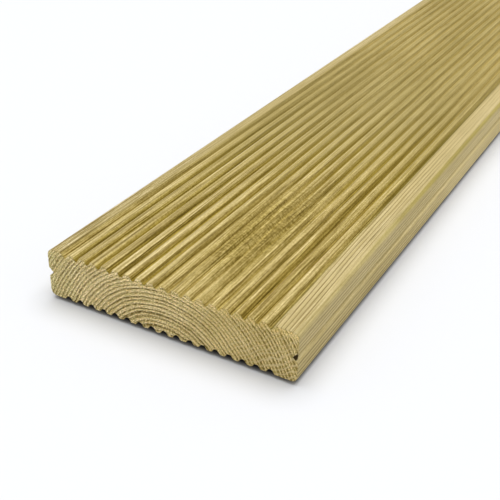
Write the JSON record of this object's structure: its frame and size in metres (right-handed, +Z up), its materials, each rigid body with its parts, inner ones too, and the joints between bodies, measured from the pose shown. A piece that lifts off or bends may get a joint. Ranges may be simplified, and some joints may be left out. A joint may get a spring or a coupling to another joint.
{
  "type": "decking board",
  "caption": "Straight length of treated softwood decking with a ridged walking face, a ribbed underside, rounded arrises and a V groove along each side.",
  "frame": {"origin": "middle of the board's length and width, at the level of the rib tips on the underside", "axes": "+X across the board, +Y along its length, +Z up out of the ridged walking face"},
  "size_m": [0.145, 2.4, 0.028],
  "materials": {
    "treated_pine": "planed, pressure treated, pale straw with an olive tint, uncoated"
  },
  "bodies": {
    "root": {"deck_board": "treated_pine"}
  },
  "joints": []
}
